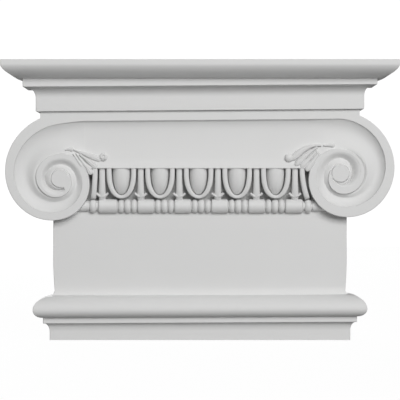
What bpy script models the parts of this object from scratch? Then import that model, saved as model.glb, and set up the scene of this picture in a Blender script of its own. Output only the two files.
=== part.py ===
# Flat-backed ionic pilaster capital, cast in one piece.
# The wall is the plane Y = 0, the front looks along -Y, and the origin is the middle of the flat back.
# "Out" below is how far a face stands out from the plain neck, on the front and on both mitred returns.

import bpy
import bmesh
import math
from mathutils import Vector

# Plain neck
NECK_WIDTH = 0.3302
NECK_DEPTH = 0.034
NECK_HOLLOW = 0.0020
NECK_SWEEP = 0.0410

# Heights of the members, from the top down
ABACUS_EDGE = 0.0055
OVOLO = 0.0139
TOP_FILLET = 0.0082
CAVETTO = 0.0119
FASCIA = 0.0148
RIM = 0.0108
CANALIS = 0.0540
ECHINUS = 0.0342
ASTRAGAL = 0.0161
NECK = 0.0919
TORUS_TOP = 0.0152
TORUS_UNDER = 0.0089
BASE_FILLET = 0.0064
BASE_CAVETTO = 0.0096
BASE_FASCIA = 0.0103

# How far each member stands out from the neck
ABACUS_OUT = 0.0539
TOP_FILLET_OUT = 0.0315
CAVETTO_OUT = 0.0275
FASCIA_OUT = 0.0181
BAND_OUT = 0.0138
EGG_OUT = 0.0131
SHELL_OUT = 0.0122
DART_OUT = 0.0116
ECHINUS_FOOT_OUT = 0.0060
ECHINUS_CURVE = 2.6          # 2 is a quarter ellipse, and more makes it fuller
TORUS_OUT = 0.0213
BASE_FILLET_OUT = 0.0107
BASE_FASCIA_OUT = 0.0037
SOFT_EDGE = 0.0008

# Curve of the top ovolo: 1 is a quarter ellipse, and more makes it flatter
OVOLO_CURVE = 1.19

# The casting leans: its lines climb this much from the middle to the right, and drop as much to the left,
# between the top fillet and the band, and round the torus
LEAN = 0.0014
BASE_LEAN = 0.0009

# Volutes. Given at every quarter turn, from the top over the outside and under: radii of the scroll's outer
# edge, widths of the ridge inside it, depths of the channel, where the channel is deepest as a share of its
# width, and how far it is a crease there under a rolled ridge and not a hollow. The step is the height of the
# sharp edge at the channel's inner side.
LEFT_EYE_INSET = 0.0085
LEFT_EYE_DROP = 0.0113
LEFT_RADII = (0.0734, 0.0607, 0.0460, 0.0325, 0.0278, 0.0266, 0.0206, 0.0126, 0.0111, 0.0110)
LEFT_RIDGES = (0.0110, 0.0098, 0.0106, 0.0080, 0.0044, 0.0050, 0.0038)
LEFT_DEPTHS = (0.0050, 0.0068, 0.0056, 0.0048, 0.0050, 0.0072, 0.0056)
LEFT_LOWS = (0.40, 0.52, 0.68, 0.54, 0.58, 0.44, 0.80)
LEFT_CREASES = (0, 0, 0, 0.5, 0, 1, 1)
LEFT_STEP = 0.0020
LEFT_TURN_END = 565
RIGHT_EYE_INSET = 0.0080
RIGHT_EYE_DROP = 0.0055
RIGHT_RADII = (0.0704, 0.0599, 0.0484, 0.0350, 0.0272, 0.0268, 0.0227, 0.0126, 0.0103, 0.0110)
RIGHT_RIDGES = (0.0106, 0.0100, 0.0100, 0.0085, 0.0048, 0.0045, 0.0070)
RIGHT_DEPTHS = (0.0052, 0.0064, 0.0062, 0.0056, 0.0052, 0.0074, 0.0040)
RIGHT_LOWS = (0.41, 0.38, 0.72, 0.60, 0.50, 0.76, 0.50)
RIGHT_CREASES = (0, 0, 0, 0.6, 0.3, 1, 1)
RIGHT_STEP = 0.0030
RIGHT_TURN_END = 590
EYE_RADIUS = 0.0109
NOTCH_ANGLE = 18

# Sunk channel in the straight band, its steep wall as a share of its depth there and in the scrolls, and the
# angles between which that wall turns into a rounded shoulder
BAND_DEPTH = 0.0052
BAND_LOW = 0.28
BAND_WALL = 0.46
SCROLL_WALL = 0.25
WALL_WIDTH = 0.02
SHOULDER_START = 190
SHOULDER_END = 300
CREASE_RIDGE = 2.2           # powers of the ridge's fall to a crease and of the rise on its other side
CREASE_RISE = 1.8
CHANNEL_EDGE = 0.0004

# Floor of the straight channel: share of its rise that is a curve, and length of the bevel along the lip
FLOOR_CURVE = 0.65
FLOOR_BEVEL = 0.14

# Sides of the volutes, behind the front rim
ROLL_RIM = 0.0090
ROLL_COVE = 0.0050
ROLL_WAIST = 0.0050
ROLL_BACK = 0.0020

# Egg-and-dart
EGG_PITCH = 0.0432
EGG_SHIFT = 0.0005
EGG_DROP = 0.71              # power that draws a half ellipse out to the shape of an egg
EGG_HALF_WIDTH = 0.0104
EGG_FULLNESS = 0.80
EGG_GAP_BELOW = 0.0047
SHELL_HALF_WIDTH = 0.0138
SHELL_WIDTH = 0.0057
SHELL_WIDTH_BELOW = 0.0038
SHELL_GAP_BELOW = 0.0005
SHELL_RIDGE = 0.0012
SHELL_FULLNESS = 0.55
DART_WIDTH = 0.0056
DART_FORK = 0.0028
DART_FULLNESS = 0.7
BARB_REACH = 0.0066
BARB_RISE = 0.0038
BARB_WIDTH = 0.0027

# Bead-and-reel
BEAD_PITCH = 0.0414
BEAD_SHIFT = 0.0036
BEAD_LENGTH = 0.0078
REEL_LENGTH = 0.0066
GROOVE_DEPTH = 0.0018
FIRST_ROD_LONGER = 0.0027
LAST_ROD_LONGER = 0.0010
END_GAP = 0.0014             # between those rods and the row's first and last reel
END_REEL_LENGTH = 0.0076
BEAD_AXIS_OUT = 0.0016

# Corner leaves. Each lobe has its root and its tip, to the inside of the eye and above it, how far its middle
# is lifted off the straight line between them, its width, and its height over the band at the root and at the
# tip. The last lobe is the rolled end of the root. The knob at the leaf's tip has its middle, its radius and
# its height over the ground.
LEFT_LOBES = (((0.0146, 0.0279), (0.0253, 0.0129), 0.0000, 0.0042, 0.0006, 0.0008),
              ((0.0180, 0.0285), (0.0303, 0.0123), 0.0000, 0.0045, 0.0004, 0.0012),
              ((0.0269, 0.0184), (0.0357, 0.0047), 0.0000, 0.0072, 0.0006, 0.0014),
              ((0.0219, 0.0274), (0.0415, 0.0120), 0.0000, 0.0069, 0.0000, 0.0012),
              ((0.0152, 0.0324), (0.0459, 0.0207), 0.0000, 0.0068, -0.0006, -0.0004),
              ((0.0063, 0.0319), (0.0146, 0.0319), 0.0011, 0.0050, -0.0004, -0.0002))
LEFT_KNOB = ((0.0485, 0.0240), 0.0046, 0.0042)
RIGHT_LOBES = (((0.0241, 0.0227), (0.0384, 0.0028), 0.0000, 0.0078, 0.0006, 0.0018),
               ((0.0264, 0.0255), (0.0443, 0.0065), 0.0000, 0.0062, 0.0002, 0.0012),
               ((0.0260, 0.0295), (0.0504, 0.0087), 0.0014, 0.0072, -0.0004, 0.0008),
               ((0.0215, 0.0312), (0.0543, 0.0152), 0.0052, 0.0080, -0.0006, 0.0002),
               ((0.0186, 0.0310), (0.0063, 0.0315), 0.0005, 0.0060, -0.0006, -0.0004))
RIGHT_KNOB = ((0.0577, 0.0173), 0.0048, 0.0050)
LOBE_ROOT = 0.30             # width at the root as a share of the full width
LOBE_TIP = 0.16              # length of the rounded tip as a share of the lobe
LOBE_TIP_DROP = 0.0012
LOBE_FULLNESS = 0.8

# How far joined pieces run into each other, and past a face that is cut flat
SINK = 0.0020

# Degrees between the rows of the channel, and the angle at which shading breaks
CHANNEL_STEP = 15
SHARP_ANGLE = 35

# Levels and half widths worked out from the sizes above
MEMBERS = (ABACUS_EDGE, OVOLO, TOP_FILLET, CAVETTO, FASCIA, RIM, CANALIS, ECHINUS, ASTRAGAL, NECK,
           TORUS_TOP, TORUS_UNDER, BASE_FILLET, BASE_CAVETTO, BASE_FASCIA)
TOP = sum(MEMBERS) / 2
HALF_NECK = NECK_WIDTH / 2


def level(count):
    """Height of the underside of the first members, counted from the top."""
    return TOP - sum(MEMBERS[:count])


BAND_TOP = level(5)
RIM_FOOT = level(6)
LIP = level(7)
BEAD_TOP = level(8)
BEAD_FOOT = level(9)
BAND_FRONT = -(NECK_DEPTH + BAND_OUT)


def front(out):
    return -(NECK_DEPTH + out)


def mesh_object(name, bm, collection):
    bmesh.ops.recalc_face_normals(bm, faces=bm.faces)
    mesh = bpy.data.meshes.new(name)
    bm.to_mesh(mesh)
    bm.free()
    thing = bpy.data.objects.new(name, mesh)
    collection.objects.link(thing)
    return thing


def add_loft(bm, rings):
    """A closed skin through rings of the same count, with a face over each end."""
    rows = [[bm.verts.new(point) for point in ring] for ring in rings]
    count = len(rows[0])
    for low, high in zip(rows, rows[1:]):
        for i in range(count):
            j = (i + 1) % count
            bm.faces.new((low[i], low[j], high[j], high[i]))
    bm.faces.new(rows[0])
    bm.faces.new(rows[-1])


def quarter(start, end, steps, steep, curve=1):
    """Points after start on a quarter ellipse to end, leaving start upright if steep and level if not."""
    points = []
    for step in range(1, steps + 1):
        turn = math.radians(90 * step / steps)
        rise = math.sin(turn) ** curve
        fall = max(math.cos(turn), 0) ** curve
        if steep:
            points.append((end[0] + (start[0] - end[0]) * fall, start[1] + (end[1] - start[1]) * rise))
        else:
            points.append((start[0] + (end[0] - start[0]) * rise, end[1] + (start[1] - end[1]) * fall))
    return points


# Stacked mouldings

def profile():
    """Out and height down the front of the body, with the lean that each level takes."""
    upper = [(ABACUS_OUT - SOFT_EDGE, TOP), (ABACUS_OUT, TOP - SOFT_EDGE), (ABACUS_OUT, level(1))]
    upper += quarter((ABACUS_OUT, level(1)), (TOP_FILLET_OUT, level(2)), 7, True, OVOLO_CURVE)
    fillet = [(TOP_FILLET_OUT, level(3)), (CAVETTO_OUT, level(3))]
    hollow = quarter((CAVETTO_OUT, level(3)), (FASCIA_OUT, level(4)), 4, False)
    band = [(FASCIA_OUT, BAND_TOP + SOFT_EDGE), (FASCIA_OUT - SOFT_EDGE, BAND_TOP), (0, BAND_TOP)]
    neck = [(0, BEAD_FOOT)]
    neck += [(-NECK_HOLLOW * (1 - up) ** 2, level(10) + NECK_SWEEP * up) for up in (1, 1 / 3, 0)]
    torus = quarter((-NECK_HOLLOW, level(10)), (TORUS_OUT, level(11)), 6, False)
    torus += quarter((TORUS_OUT, level(11)), (BASE_FILLET_OUT, level(12)), 4, True)
    torus += [(BASE_FILLET_OUT, level(13))]
    torus += quarter((BASE_FILLET_OUT - SOFT_EDGE, level(13)), (BASE_FASCIA_OUT, level(14)), 3, False)
    return ([(out, height, 0) for out, height in upper]
            + [(out, height, LEAN) for out, height in fillet + hollow + band]
            + [(out, height, 0) for out, height in neck]
            + [(out, height, BASE_LEAN) for out, height in torus] + [(BASE_FASCIA_OUT, -TOP, 0)])


def make_body(collection):
    """Mouldings as a stack of rectangles that run past the wall, mitred at the corners."""
    rings = []
    for out, height, lean in profile():
        side = HALF_NECK + out
        rings.append([(-side, SINK, height - lean), (-side, front(out), height - lean),
                      (side, front(out), height + lean), (side, SINK, height + lean)])
    bm = bmesh.new()
    add_loft(bm, rings)
    return mesh_object("ionic_capital", bm, collection)


# Volutes and band

def smooth(values, place):
    """Value at a place along evenly spaced values, on a curve through all of them."""
    last = len(values) - 1
    i = min(max(int(math.floor(place)), 0), last - 1)
    t = place - i
    before = values[i - 1] if i > 0 else 2 * values[0] - values[1]
    after = values[i + 2] if i + 2 <= last else 2 * values[last] - values[last - 1]
    a, b = values[i], values[i + 1]
    bend = 2 * before - 5 * a + 4 * b - after
    twist = 3 * a - before - 3 * b + after
    return a + t * (b - before + t * (bend + t * twist)) / 2


class Volute:
    """One scroll: side is -1 on the left and 1 on the right, and angles run from the top over the outside."""

    def __init__(self, side, inset, drop, radii, ridges, depths, lows, creases, step, turn_end):
        self.side = side
        self.eye = (side * (HALF_NECK - inset), LIP - drop)
        self.radii = radii
        self.ridges = ridges
        self.depths = depths
        self.lows = lows
        self.creases = creases
        self.step = step
        self.turn_end = turn_end
        self.inner_angle = 270 + math.degrees(math.asin(min(drop / radii[3], 0.9)))

    def at(self, angle, radius):
        turn = math.radians(angle)
        return (self.eye[0] + self.side * radius * math.sin(turn), self.eye[1] + radius * math.cos(turn))

    def edge(self, angle):
        """Radius of the scroll's outer edge, down to the eye."""
        return max(smooth(self.radii, angle / 90), EYE_RADIUS) if angle < 810 else EYE_RADIUS

    def value(self, values, angle):
        """One of the scroll's lists, read at an angle."""
        return smooth(values, min(max(angle / 90, 0), len(values) - 1))

    def inner_side(self):
        """How far the scroll reaches towards the middle, level with the lip."""
        return self.at(self.inner_angle, self.edge(self.inner_angle))[0]


def volutes():
    left = Volute(-1, LEFT_EYE_INSET, LEFT_EYE_DROP, LEFT_RADII, LEFT_RIDGES, LEFT_DEPTHS, LEFT_LOWS,
                  LEFT_CREASES, LEFT_STEP, LEFT_TURN_END)
    right = Volute(1, RIGHT_EYE_INSET, RIGHT_EYE_DROP, RIGHT_RADII, RIGHT_RIDGES, RIGHT_DEPTHS, RIGHT_LOWS,
                   RIGHT_CREASES, RIGHT_STEP, RIGHT_TURN_END)
    return left, right


def scroll_outline(volute, inset):
    """The side of the band from its top corner round the scroll to the lip, drawn in where it is waisted."""
    side = volute.side * (HALF_NECK + BAND_OUT)
    points = [(side, BAND_TOP + SINK)]
    steps = 24
    for step in range(steps + 1):
        angle = NOTCH_ANGLE + (volute.inner_angle - NOTCH_ANGLE) * step / steps
        ease = min(1, (angle - NOTCH_ANGLE) / 40, (volute.inner_angle - angle) / 25)
        points.append(volute.at(angle, volute.edge(angle) - inset * ease))
    points.append((points[-1][0] - volute.side * SINK, LIP))
    return points


def make_band(collection):
    """Band and volutes as one outline, carried back to the wall with a waisted side."""
    left, right = volutes()
    depths = ((BAND_FRONT, 0), (BAND_FRONT + ROLL_RIM, 0), (BAND_FRONT + ROLL_RIM + ROLL_COVE, ROLL_WAIST),
              (-NECK_DEPTH / 4, ROLL_WAIST), (2 * SINK, ROLL_BACK))
    rings = []
    for depth, inset in depths:
        outline = scroll_outline(left, inset) + scroll_outline(right, inset)[::-1]
        rings.append([(x, depth, height) for x, height in outline])
    bm = bmesh.new()
    add_loft(bm, rings)
    return mesh_object("band", bm, collection)


def blend(t):
    """0 to 1 with level ends."""
    t = min(max(t, 0), 1)
    return t * t * (3 - 2 * t)


def floor_rise(share):
    """How far the straight channel's floor has come up, at a share of its way to the lip."""
    bevel = max(share - 1 + FLOOR_BEVEL, 0) / FLOOR_BEVEL
    return FLOOR_CURVE * share ** 2 + (1 - FLOOR_CURVE) * bevel


def channel_rows(volute):
    """The channel's cross-sections, from its end inside the scroll to the middle of the band.

    Each is its outer and inner corner, its depth, where it is deepest, how far it is straight, how far its
    wall is a rounded shoulder, how far its bottom is a crease, and the step at its inner side.
    """
    rows = []
    first = volute.inner_angle - 360
    sag = RIM_FOOT - volute.at(0, volute.edge(0) - volute.value(volute.ridges, 0))[1]
    steps = round((volute.turn_end - first) / CHANNEL_STEP)
    for step in range(steps):
        angle = volute.turn_end + (first - volute.turn_end) * step / steps
        next_edge = volute.edge(angle + 360)
        inner = volute.at(angle + 360, next_edge)
        depth = volute.value(volute.depths, angle)
        low = volute.value(volute.lows, angle)
        if angle >= 0:
            outer_edge = max(volute.edge(angle) - volute.value(volute.ridges, angle), next_edge + SOFT_EDGE)
            rolled = blend((angle - SHOULDER_START) / (SHOULDER_END - SHOULDER_START))
            crease = min(max(volute.value(volute.creases, angle), 0), 1)
            rows.append((volute.at(angle, outer_edge), inner, depth, low, 0, rolled, crease, volute.step))
        else:
            ease = 1 - angle / first
            outer = (inner[0], RIM_FOOT - sag * ease ** 2)
            low = BAND_LOW + (low - BAND_LOW) * ease
            rows.append((outer, inner, depth, low, 1 - ease, 0, 0, volute.step * ease))
    start = volute.inner_side()
    for share in (1, 0.82, 0.5):
        x = start * share
        rows.append(((x, RIM_FOOT), (x, LIP + CHANNEL_EDGE), BAND_DEPTH, BAND_LOW, 1, 0, 0, 0))
    return rows


def channel_section(outer, inner, depth, low, straight, rolled, crease, step, lean):
    """Points across the channel, sunk below the band's face, then over its front.

    In the scrolls it is a hollow, and in the straight band a cove with a floor that rises to the lip.
    """
    a, b = Vector(outer), Vector(inner)
    a.y += lean
    width = (b - a).length
    across = (b - a) / width
    depth = min(depth, 0.8 * width)
    step = min(step, 0.5 * depth)
    edge = CHANNEL_EDGE
    wall = (SCROLL_WALL + (BAND_WALL - SCROLL_WALL) * straight) * depth
    wall = edge + (wall - edge) * (1 - rolled)
    wall_width = WALL_WIDTH * width
    cuts = [(-edge, -edge), (wall_width, wall)]
    for share in (0.24, 0.59, 1):
        roll = blend(share) * (1 - crease) + share ** CREASE_RIDGE * crease
        fall = (1 - (1 - share) ** (2.2 + 1.2 * straight)) * (1 - rolled) + roll * rolled
        cuts.append((wall_width + (low * width - wall_width) * share, wall + (depth - wall) * fall))
    rise = (1 - low) * width
    for share in (0.35, 0.7, 1):
        hollow = blend(share) * (1 - crease) + (1 - (1 - share) ** CREASE_RISE) * crease
        curved = hollow * (1 - straight) + floor_rise(share) * straight
        cuts.append((width - rise * (1 - share) - edge, depth - (depth - step) * curved))
    cuts.append((width + edge, -edge))
    ring = []
    for along, sunk in cuts:
        spot = a + across * along
        ring.append((spot.x, BAND_FRONT + sunk, spot.y))
    for spot in (b + across * edge, a - across * edge):
        ring.append((spot.x, BAND_FRONT - SINK, spot.y))
    return ring


def make_channel(collection):
    left, right = volutes()
    rings = []
    for row in channel_rows(left) + channel_rows(right)[::-1]:
        rings.append(channel_section(*row, LEAN * row[0][0] / HALF_NECK))
    bm = bmesh.new()
    add_loft(bm, rings)
    return mesh_object("channel", bm, collection)


# Rails: raised bars that follow a line on the front

def add_rail(bm, line, widths, crests, fullness):
    """A bar with a rounded crest along points of the front plane, given its width and its out at each point.

    The rounding is as deep as the half width times the fullness.
    """
    rings = []
    for i, spot in enumerate(line):
        before = Vector(line[max(i - 1, 0)])
        after = Vector(line[min(i + 1, len(line) - 1)])
        along = (after - before).normalized()
        across = Vector((-along.y, along.x))
        half, crest = widths[i] / 2, crests[i]
        shoulder = min(half * fullness, 0.6 * (crest + SINK))
        ring = []
        for share, out in ((-1, -SINK), (-1, crest - shoulder), (-0.6, crest - 0.22 * shoulder), (0, crest),
                           (0.6, crest - 0.22 * shoulder), (1, crest - shoulder), (1, -SINK)):
            place = Vector(spot) + across * half * share
            ring.append((place.x, front(out), place.y))
        rings.append(ring)
    add_loft(bm, rings)


def ovolo_out(top_out, height):
    """Front of the egg row, full at the lip and curving back to the beads."""
    down = min(max((LIP - height) / (LIP - BEAD_TOP), 0), 1)
    return ECHINUS_FOOT_OUT + (top_out - ECHINUS_FOOT_OUT) * math.sqrt(max(1 - down ** ECHINUS_CURVE, 0))


def between_scrolls():
    """Width and middle of the room between the two volutes."""
    left, right = volutes()
    return right.inner_side() - left.inner_side(), (right.inner_side() + left.inner_side()) / 2


def egg_places():
    width, middle = between_scrolls()
    count = max(int(width / EGG_PITCH), 1)
    return middle + EGG_SHIFT, count


def make_eggs(collection):
    """Each egg is a stack of rings that narrow to its foot, full in front and sunk into the ground behind."""
    middle, count = egg_places()
    top = LIP + SINK / 2
    length = top - BEAD_TOP - EGG_GAP_BELOW
    steps, around = 7, 12
    bm = bmesh.new()
    for k in range(count):
        x = middle + (k - (count - 1) / 2) * EGG_PITCH
        rings = []
        for step in range(steps + 1):
            turn = math.radians(86 * step / steps)
            size = math.cos(turn)
            ring = []
            for j in range(around):
                angle = math.tau * j / around
                aside = math.copysign(abs(math.cos(angle)) ** EGG_FULLNESS, math.cos(angle))
                forward = math.copysign(abs(math.sin(angle)) ** EGG_FULLNESS, math.sin(angle))
                deep = EGG_OUT if forward > 0 else 2 * SINK
                ring.append((x + aside * size * EGG_HALF_WIDTH, front(forward * size * deep),
                             top - length * math.sin(turn) ** EGG_DROP))
            rings.append(ring)
        add_loft(bm, rings)
    return mesh_object("eggs", bm, collection)


def shell_line(x, start, stop):
    """The loop round an egg from start to stop, in shares of its way from left to right, and its way down."""
    depth = LIP - BEAD_TOP - SHELL_WIDTH_BELOW / 2 - SHELL_GAP_BELOW
    line, downs = [], []
    steps = round(18 * (stop - start))
    for step in range(steps + 1):
        turn = math.pi * (start + (stop - start) * step / steps)
        down = max(math.sin(turn), 0) ** EGG_DROP
        line.append((x - math.cos(turn) * SHELL_HALF_WIDTH, LIP - depth * down))
        downs.append(down)
    if start == 0:
        line.insert(0, (x - SHELL_HALF_WIDTH, LIP + SINK / 2))
        downs.insert(0, 0)
    if stop == 1:
        line.append((x + SHELL_HALF_WIDTH, LIP + SINK / 2))
        downs.append(0)
    return line, downs


def make_shells(collection):
    middle, count = egg_places()
    bm = bmesh.new()
    for k in range(-1, count + 1):
        x = middle + (k - (count - 1) / 2) * EGG_PITCH
        line, downs = shell_line(x, 0.5 if k < 0 else 0, 0.5 if k == count else 1)
        widths = [SHELL_WIDTH + (SHELL_WIDTH_BELOW - SHELL_WIDTH) * down ** 6 for down in downs]
        crests = [ovolo_out(SHELL_OUT, height) + SHELL_RIDGE for _, height in line]
        add_rail(bm, line, widths, crests, SHELL_FULLNESS)
    return mesh_object("shells", bm, collection)


def make_darts(collection):
    middle, count = egg_places()
    bm = bmesh.new()
    foot = BEAD_TOP - SINK / 2
    fork = BEAD_TOP + DART_FORK
    for k in range(count + 1):
        x = middle + (k - count / 2) * EGG_PITCH
        line, widths = [(x, LIP + SINK / 2)], [DART_WIDTH]
        for share, wide in ((0.3, 0.98), (0.6, 1.16), (0.85, 1.38), (1, 1.5)):
            line.append((x, LIP - (LIP - fork) * share))
            widths.append(DART_WIDTH * wide)
        line.append((x, foot))
        widths.append(DART_WIDTH * 1.1)
        add_rail(bm, line, widths, [ovolo_out(DART_OUT, height) for _, height in line], DART_FULLNESS)
    return mesh_object("darts", bm, collection)


def make_barbs(collection):
    middle, count = egg_places()
    bm = bmesh.new()
    fork = BEAD_TOP + DART_FORK
    for k in range(count + 1):
        x = middle + (k - count / 2) * EGG_PITCH
        for side in (-1, 1):
            shares = (0.1, 0.5, 0.8, 1)
            line = [(x + side * BARB_REACH * share, fork + BARB_RISE * share ** 2) for share in shares]
            crests = [ovolo_out(DART_OUT, height) for _, height in line]
            add_rail(bm, line, [BARB_WIDTH] * len(line), crests, 1)
    return mesh_object("barbs", bm, collection)


# Bead-and-reel

def bead_elements():
    """Start, end and roundness of each turned element, from the left volute to the end of the row."""
    width, middle = between_scrolls()
    groups = max(round(width / BEAD_PITCH) - 1, 1)
    half = BEAD_LENGTH / 2
    elements = []
    first = middle + BEAD_SHIFT - (groups + 1) / 2 * BEAD_PITCH
    for k in range(groups + 1):
        x = first + k * BEAD_PITCH
        rod_start, rod_end = x + half + REEL_LENGTH, x + BEAD_PITCH - half - REEL_LENGTH
        if k == 0:
            rod_start -= FIRST_ROD_LONGER
            elements.append((rod_start - END_GAP - END_REEL_LENGTH, rod_start - END_GAP, 0.5))
        else:
            elements += [(x - half - REEL_LENGTH, x - half, 0.5), (x - half, x + half, 1),
                         (x + half, rod_start, 0.5)]
        if k == groups:
            rod_end += LAST_ROD_LONGER
        elements.append((rod_start, rod_end, 0))
    last_reel = rod_end + END_GAP
    return elements + [(last_reel, last_reel + END_REEL_LENGTH, 0.5)]


def make_beads(collection):
    """The row is turned about its own axis, which lies level just in front of the neck."""
    radius = ASTRAGAL / 2
    elements = bead_elements()
    low = radius - GROOVE_DEPTH
    start, end = elements[0][0] - BEAD_PITCH / 2, elements[-1][1] + BEAD_PITCH / 2
    points = [(start, 0), (start, low)]
    for left, right, bulge in elements:
        length = right - left
        if bulge:
            shares = ((0, 0), (0.22, 0.75), (0.5, 1), (0.78, 0.75), (1, 0))
        else:
            shares = ((0, 0), (0.06, 0.9), (0.94, 0.9), (1, 0))
        points += [(left + length * share, low + GROOVE_DEPTH * rise) for share, rise in shares]
    points += [(end, low), (end, 0)]
    bm = bmesh.new()
    verts = [bm.verts.new((x, 0, r)) for x, r in points]
    for a, b in zip(verts, verts[1:]):
        bm.edges.new((a, b))
    bmesh.ops.spin(bm, geom=verts + bm.edges[:], cent=(0, 0, 0), axis=(1, 0, 0), angle=math.tau, steps=12,
                   use_merge=True)
    bmesh.ops.remove_doubles(bm, verts=bm.verts, dist=0.00001)
    beads = mesh_object("beads", bm, collection)
    beads.location = (0, front(BEAD_AXIS_OUT), (BEAD_TOP + BEAD_FOOT) / 2)
    return beads


# Corner leaves

def ground_out(height):
    """Front of the ground under the leaves: the channel's floor, and the band's face below the lip."""
    rising = (1 - BAND_LOW) * CANALIS
    share = min(max(1 - (height - LIP) / rising, 0), 1)
    return BAND_OUT - BAND_DEPTH * (1 - floor_rise(share))


def make_lobe(volute, root, tip, lift, width, root_height, tip_height, collection):
    """One lobe: narrow at the root, and full before its rounded tip."""
    line, widths, crests = [], [], []
    for share in (0, 0.25, 0.5, 0.7, 0.85, 0.95, 1):
        x = volute.eye[0] - volute.side * (root[0] + (tip[0] - root[0]) * share)
        height = volute.eye[1] + root[1] + (tip[1] - root[1]) * share + lift * 4 * share * (1 - share)
        full = LOBE_ROOT + (1 - LOBE_ROOT) * blend(share / 0.9)
        close = math.sqrt(max(1 - max(0, (share - 1 + LOBE_TIP) / LOBE_TIP) ** 2, 0.05))
        line.append((x, height))
        widths.append(width * full * close)
        rise = root_height + (tip_height - root_height) * blend(share / 0.8)
        crests.append(BAND_OUT + rise - LOBE_TIP_DROP * (1 - close))
    bm = bmesh.new()
    add_rail(bm, line, widths, crests, LOBE_FULLNESS)
    return mesh_object("lobe", bm, collection)


def make_knob(volute, middle, radius, relief, collection):
    """The curled tip, a flattened ball."""
    height = volute.eye[1] + middle[1]
    bm = bmesh.new()
    deep = relief * 0.75
    bmesh.ops.create_uvsphere(bm, u_segments=12, v_segments=8, radius=1)
    bmesh.ops.scale(bm, vec=(radius, deep, radius), verts=bm.verts)
    place = (volute.eye[0] - volute.side * middle[0], front(ground_out(height) + relief - deep), height)
    bmesh.ops.translate(bm, vec=place, verts=bm.verts)
    return mesh_object("knob", bm, collection)


def make_leaves(collection):
    carved = []
    for volute, lobes, knob in zip(volutes(), (LEFT_LOBES, RIGHT_LOBES), (LEFT_KNOB, RIGHT_KNOB)):
        for lobe in lobes:
            carved.append(make_lobe(volute, *lobe, collection))
        carved.append(make_knob(volute, *knob, collection))
    return carved


# Putting it together

def combine(target, other, operation):
    modifier = target.modifiers.new(other.name, "BOOLEAN")
    modifier.operation = operation
    modifier.solver = "MANIFOLD"  # the exact solver leaves holes where the channel meets the flat face
    modifier.object = other
    other.hide_render = True
    other.display_type = "WIRE"


def wall_cutter(collection):
    """Everything behind the wall plane."""
    bm = bmesh.new()
    bmesh.ops.create_cube(bm, size=1)
    deep = 10 * SINK
    wide = 3 * (HALF_NECK + max(LEFT_RADII + RIGHT_RADII))
    bmesh.ops.scale(bm, vec=(wide, deep, 3 * TOP), verts=bm.verts)
    bmesh.ops.translate(bm, vec=(0, deep / 2, 0), verts=bm.verts)
    return mesh_object("behind_wall", bm, collection)


def primed_white():
    material = bpy.data.materials.new("primed_white")
    material.use_nodes = True
    shader = material.node_tree.nodes["Principled BSDF"]
    shader.inputs["Base Color"].default_value = (0.79, 0.79, 0.78, 1)
    shader.inputs["Roughness"].default_value = 0.6
    shader.inputs["Metallic"].default_value = 0
    return material


def main():
    for thing in list(bpy.data.objects):
        bpy.data.objects.remove(thing)
    part = bpy.data.collections.new("ionic_capital")
    cutters = bpy.data.collections.new("cutters")
    for collection in (part, cutters):
        bpy.context.scene.collection.children.link(collection)

    capital = make_body(part)
    band = make_band(cutters)
    combine(band, make_channel(cutters), "DIFFERENCE")
    combine(capital, band, "UNION")
    for make in (make_eggs, make_shells, make_darts, make_barbs, make_beads):
        combine(capital, make(cutters), "UNION")
    for lobe in make_leaves(cutters):
        combine(capital, lobe, "UNION")
    combine(capital, wall_cutter(cutters), "DIFFERENCE")
    capital.data.materials.append(primed_white())
    capital.data.shade_smooth()
    capital.data.set_sharp_from_angle(angle=math.radians(SHARP_ANGLE))


main()
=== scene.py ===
import bpy
import bmesh
import math
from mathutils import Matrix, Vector


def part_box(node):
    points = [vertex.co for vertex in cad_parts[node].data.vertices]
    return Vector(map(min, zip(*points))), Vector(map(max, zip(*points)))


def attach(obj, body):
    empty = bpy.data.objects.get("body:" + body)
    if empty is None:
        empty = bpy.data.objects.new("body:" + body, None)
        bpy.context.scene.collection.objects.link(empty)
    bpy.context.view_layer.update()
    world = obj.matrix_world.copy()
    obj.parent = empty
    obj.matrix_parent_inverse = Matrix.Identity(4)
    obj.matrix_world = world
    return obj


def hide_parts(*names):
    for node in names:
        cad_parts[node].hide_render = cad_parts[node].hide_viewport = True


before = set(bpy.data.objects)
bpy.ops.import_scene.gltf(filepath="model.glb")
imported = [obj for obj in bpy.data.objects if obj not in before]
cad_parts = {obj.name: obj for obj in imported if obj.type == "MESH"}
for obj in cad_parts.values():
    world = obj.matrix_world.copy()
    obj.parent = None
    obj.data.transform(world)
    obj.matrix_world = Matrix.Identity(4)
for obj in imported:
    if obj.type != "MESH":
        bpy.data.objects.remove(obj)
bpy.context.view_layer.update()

lowest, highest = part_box("ionic_capital")

# The wall is the plane y = 0 and the front looks along -y. "Out" is how far a face stands out from the
# plain neck. All sizes are in metres, and shares are of the piece they belong to.


# Heights and outs of the members

member = dict(abacus=0.0055, ovolo=0.0139, topFillet=0.0082, cavetto=0.0119, fascia=0.0148, rim=0.0108,
              canalis=0.0540, eggs=0.0342, beads=0.0161, neck=0.0919, torusTop=0.0152, torusUnder=0.0089,
              baseFillet=0.0064, baseCavetto=0.0096, baseFascia=0.0103)
out = dict(abacus=0.0539, topFillet=0.0315, cavetto=0.0275, fascia=0.0181, band=0.0138, torus=0.0213,
           baseFillet=0.0107, baseFascia=0.0037)


def under(name):
    names = list(member)
    return highest.z - sum(member[each] for each in names[:names.index(name) + 1])


neckDepth = -lowest.y - out["abacus"]
halfNeck = highest.x - out["abacus"]
bandTop, rimFoot, lip = under("fascia"), under("rim"), under("canalis")
beadTop, beadFoot = under("eggs"), under("beads")
sink = 0.002         # how far joined pieces run into each other
weld = 0.00001       # points closer than this become one


def frontAt(howFar):
    return -(neckDepth + howFar)


# Tools

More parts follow.
